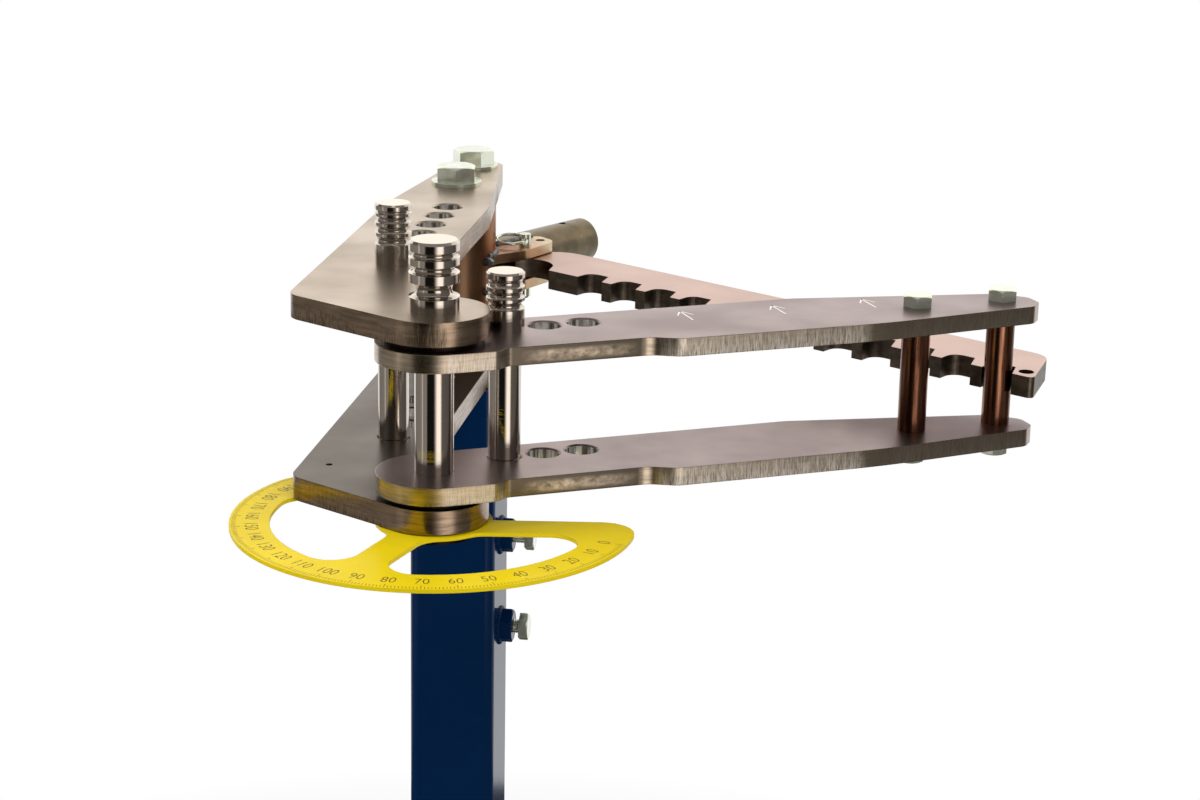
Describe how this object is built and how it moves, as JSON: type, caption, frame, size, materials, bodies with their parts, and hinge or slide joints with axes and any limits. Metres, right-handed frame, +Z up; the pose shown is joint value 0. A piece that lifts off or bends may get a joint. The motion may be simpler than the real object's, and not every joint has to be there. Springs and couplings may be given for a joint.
{
  "type": "tube bender",
  "caption": "Manual tube bender on a floor pedestal, with two frame plates, a swinging arm, a hooked bar, a lever socket and a degree ring.",
  "frame": {"origin": "floor level under the centre of the column", "axes": "+Z up along the column, -Y to the front, +X to the side that the arm swings on"},
  "size_m": [0.7606, 0.788, 1.14],
  "materials": {
    "navy_paint": "gloss",
    "zinc": "satin",
    "frame_steel": "satin",
    "arm_steel": "satin",
    "turned_steel": "polished",
    "tinted_steel": "satin",
    "black_oxide": "satin",
    "socket_steel": "satin",
    "copper_steel": "polished",
    "bar_steel": "satin",
    "yellow_paint": "gloss"
  },
  "bodies": {
    "pedestal": {"foot_plate": "navy_paint", "gussets": "navy_paint", "pedestal_column": "navy_paint", "clamp_nuts": "navy_paint"},
    "upper_clamp": {"upper_clamp_bolt": "zinc"},
    "lower_clamp": {"lower_clamp_bolt": "zinc"},
    "head": {"mounting_post": "frame_steel", "lower_frame_plate": "frame_steel", "upper_frame_plate": "frame_steel", "rear_bolts": "zinc", "rear_washers": "zinc", "rear_nuts": "zinc", "rear_spacer_tube": "tinted_steel", "lever_sleeve": "turned_steel", "dial_journal": "black_oxide", "dial_screws": "zinc"},
    "dial": {"degree_ring": "yellow_paint"},
    "pivot_pin": {"main_pivot_pin": "turned_steel"},
    "follow_pin_body": {"follow_pin": "turned_steel"},
    "drive_pin_body": {"drive_pin": "turned_steel"},
    "arm": {"upper_thrust_washer": "black_oxide", "lower_thrust_washer": "black_oxide", "upper_arm_plate": "arm_steel", "lower_arm_plate": "arm_steel", "inner_spacer_tube": "copper_steel", "outer_spacer_tube": "copper_steel", "arm_bolts": "zinc", "arm_nuts": "zinc"},
    "lever": {"lever_barrel": "tinted_steel", "upper_clevis_plate": "tinted_steel", "lower_clevis_plate": "tinted_steel", "handle_socket": "socket_steel"},
    "clevis_pin_body": {"clevis_pin": "zinc"},
    "pull_ring_body": {"pull_ring": "zinc"},
    "bar": {"ratchet_bar": "bar_steel"}
  },
  "joints": [
    {"name": "head_lift", "type": "slide", "parent": "pedestal", "child": "head", "axis": [0, 0, 1], "range_m": [0, 0.2]},
    {"name": "upper_clamp_travel", "type": "slide", "parent": "pedestal", "child": "upper_clamp", "axis": [1, 0, 0], "range_m": [0, 0.012]},
    {"name": "lower_clamp_travel", "type": "slide", "parent": "pedestal", "child": "lower_clamp", "axis": [1, 0, 0], "range_m": [0, 0.012]},
    {"name": "arm_swing", "type": "hinge", "parent": "head", "child": "arm", "pos_m": [0.0576, -0.392, 1.0035], "axis": [0, 0, 1], "range_deg": [-3, 0.4]},
    {"name": "lever_swing", "type": "hinge", "parent": "head", "child": "lever", "pos_m": [-0.018, 0.072, 1.0035], "axis": [0, 0, 1], "range_deg": [-21.7, 3]},
    {"name": "bar_pivot", "type": "hinge", "parent": "lever", "child": "bar", "pos_m": [0.04008, 0.10885, 1.0035], "axis": [0, 0, 1], "range_deg": [-3, 21.9]},
    {"name": "dial_turn", "type": "hinge", "parent": "head", "child": "dial", "pos_m": [0.0576, -0.392, 0.9186], "axis": [0, 0, 1], "continuous": true},
    {"name": "pivot_pin_lift", "type": "slide", "parent": "head", "child": "pivot_pin", "axis": [0, 0, 1], "range_m": [0, 0.17]},
    {"name": "follow_pin_lift", "type": "slide", "parent": "head", "child": "follow_pin_body", "axis": [0, 0, 1], "range_m": [0, 0.16]},
    {"name": "drive_pin_lift", "type": "slide", "parent": "arm", "child": "drive_pin_body", "axis": [0, 0, 1], "range_m": [0, 0.115]},
    {"name": "clevis_pin_lift", "type": "slide", "parent": "lever", "child": "clevis_pin_body", "axis": [0, 0, 1], "range_m": [0, 0.03]},
    {"name": "pull_ring_swing", "type": "hinge", "parent": "clevis_pin_body", "child": "pull_ring_body", "pos_m": [0.04008, 0.10885, 1.02815], "axis": [-0.1378, 0.9806, 0.1392], "range_deg": [0, 120]}
  ],
  "couplings": [
    {"joint": "lever_swing", "follows": "arm_swing", "ratio": 7.2},
    {"joint": "bar_pivot", "follows": "arm_swing", "ratio": -7.26}
  ]
}
